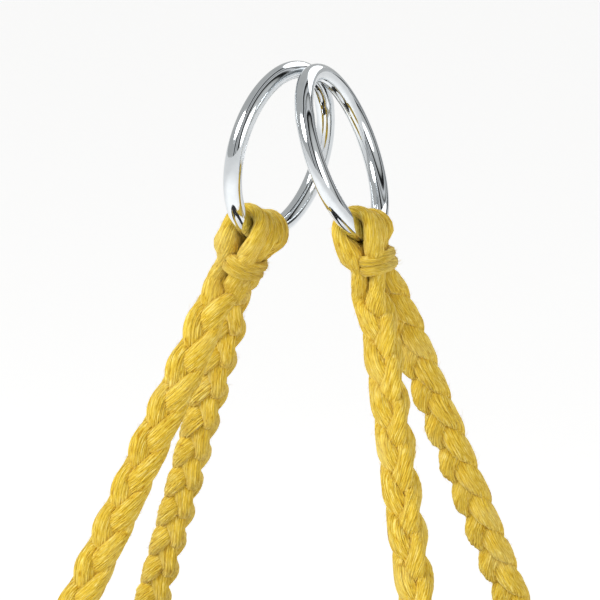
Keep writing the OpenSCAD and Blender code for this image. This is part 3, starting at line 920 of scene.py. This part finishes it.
# Carbon-black rubber that has been outdoors: near black and matt, with a greyer bloom of wax and dust in patches,
# a mould grain of about 0.9 mm, and fine radial mould lines 4 mm apart in a band beside each bead.
place_on = add_node(tree, "ShaderNodeTexCoord", {})
dusting = add_node(tree, "ShaderNodeTexNoise", {"Scale": 7.0, "Detail": 6.0, "Roughness": 0.62},
                   (place_on.outputs["Object"], "Vector"))
mould_grain = add_node(tree, "ShaderNodeTexNoise", {"Scale": 1100.0, "Detail": 2.0},
                       (place_on.outputs["Object"], "Vector"))
parts = add_node(tree, "ShaderNodeSeparateXYZ", {}, (place_on.outputs["Object"], 0))
bearing = add_node(tree, "ShaderNodeMath", {"operation": "ARCTAN2"}, (parts.outputs["Y"], 0), (parts.outputs["X"], 1))
lines = add_node(tree, "ShaderNodeMath", {"operation": "MULTIPLY", 1: 360.0}, (bearing.outputs[0], 0))
line_wave = add_node(tree, "ShaderNodeMath", {"operation": "SINE"}, (lines.outputs[0], 0))
squared_x = add_node(tree, "ShaderNodeMath", {"operation": "POWER", 1: 2.0}, (parts.outputs["X"], 0))
squared_y = add_node(tree, "ShaderNodeMath", {"operation": "POWER", 1: 2.0}, (parts.outputs["Y"], 0))
squares = add_node(tree, "ShaderNodeMath", {"operation": "ADD"}, (squared_x.outputs[0], 0), (squared_y.outputs[0], 1))
from_axis = add_node(tree, "ShaderNodeMath", {"operation": "SQRT"}, (squares.outputs[0], 0))
band = add_node(tree, "ShaderNodeMath", {"operation": "COMPARE", 1: 0.246, 2: 0.0085}, (from_axis.outputs[0], 0))
band_wave = add_node(tree, "ShaderNodeMath", {"operation": "MULTIPLY"},
                     (band.outputs[0], 0), (line_wave.outputs[0], 1))
grain_height = add_node(tree, "ShaderNodeMath", {"operation": "MULTIPLY_ADD", 1: 0.35},
                        (mould_grain.outputs["Fac"], 0), (band_wave.outputs[0], 2))
rubber_relief = add_node(tree, "ShaderNodeBump", {"Strength": 0.9, "Distance": 0.0008},
                         (grain_height.outputs[0], "Height"))
dusted = add_node(tree, "ShaderNodeMapRange", {"From Min": 0.45, "From Max": 0.75, "To Min": 0.0, "To Max": 0.5},
                  (dusting.outputs["Fac"], "Value"))
rubber_colour = add_node(tree, "ShaderNodeMix", {"data_type": "RGBA", "A": linear("1d1e20"), "B": linear("454442")},
                         (dusted.outputs["Result"], "Factor"))
rubber_rough = add_node(tree, "ShaderNodeMapRange", {"To Min": 0.58, "To Max": 0.85},
                        (dusting.outputs["Fac"], "Value"))
rubber = add_node(tree, "ShaderNodeBsdfPrincipled", {"IOR": 1.52, "Specular IOR Level": 0.4},
                  (rubber_colour.outputs["Result"], "Base Color"), (rubber_rough.outputs["Result"], "Roughness"),
                  (rubber_relief.outputs["Normal"], "Normal"))
add_node(tree, "ShaderNodeOutputMaterial", {}, (rubber.outputs[0], "Surface"))
casing.data.materials.append(tyre_rubber)
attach(casing, "swing")
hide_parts("tyre_tread", "tyre_sidewall_upper", "tyre_sidewall_lower",
            "tyre_bead_upper", "tyre_bead_lower")


# The tread blocks, moulded in one with the casing: five rows of sixty slanted blocks, each with a sipe across it.
# The shoulder rows wrap over the tyre's edge.
pitches = 60
sipe = 0.0011
cross_groove = 0.0042
block_root = 0.0006
block_edge = 0.0007
# Each row: its lower and upper edge, its blocks' slant, and how far round it is set, in blocks.
rows = [(-0.0168, 0.0168, 0.20, 0.0), (0.0258, 0.0593, -0.28, 0.5), (-0.0593, -0.0258, -0.28, 0.5),
        (0.0683, 0.1070, 0.12, 0.2), (-0.1070, -0.0683, 0.12, 0.7)]
blocks = []
for z_low, z_high, slant, stagger in rows:
    pitch = 2 * math.pi / pitches
    clear = cross_groove / tyre_radius
    half_sipe = sipe / tyre_radius / 2
    for start, stop in ((clear / 2, pitch / 2 - half_sipe), (pitch / 2 + half_sipe, pitch - clear / 2)):
        bpy.ops.object.select_all(action="DESELECT")
        bpy.ops.mesh.primitive_cube_add(size=2.0)
        block = bpy.context.object
        bpy.ops.object.mode_set(mode="EDIT")
        bpy.ops.mesh.select_all(action="SELECT")
        bpy.ops.mesh.subdivide(number_cuts=2)
        bpy.ops.object.mode_set(mode="OBJECT")
        for vertex in block.data.vertices:
            across_row = (vertex.co.y + 1) / 2
            z = z_low + (z_high - z_low) * across_row
            angle = start + (stop - start) * (vertex.co.x + 1) / 2
            angle += slant * (z - (z_low + z_high) / 2) / tyre_radius + stagger * pitch
            depth = (1 - vertex.co.z) / 2 * (groove_depth + block_root)
            radius = tread_surface(z) - depth
            vertex.co = (radius * math.cos(angle), radius * math.sin(angle), tyre_mid + z)
        edge = block.modifiers.new("edge", "BEVEL")
        edge.width = block_edge
        edge.segments = 1
        edge.angle_limit = math.radians(50)
        finish_modifiers(block)
        pick(block)
        bpy.ops.object.mode_set(mode="EDIT")
        bpy.ops.mesh.select_all(action="SELECT")
        bpy.ops.mesh.normals_make_consistent(inside=False)
        bpy.ops.object.mode_set(mode="OBJECT")
        for i in range(pitches):
            copy = bpy.data.objects.new("block", block.data.copy())
            copy.data.transform(Matrix.Rotation(i * pitch, 4, "Z"))
            bpy.context.collection.objects.link(copy)
            blocks.append(copy)
        bpy.data.objects.remove(block)
bpy.ops.object.select_all(action="DESELECT")
for block in blocks:
    block.select_set(True)
bpy.context.view_layer.objects.active = blocks[0]
bpy.ops.object.join()
tread = bpy.context.object
tread.name = "tread_blocks"
bpy.ops.object.shade_smooth_by_angle(angle=math.radians(28))
tread.data.materials.append(tyre_rubber)
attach(tread, "swing")


# The boxes of the plain parts and of the finished model.
size = {"cad": [list(corner) for corner in cad_box], "visual": [list(corner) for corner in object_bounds()]}
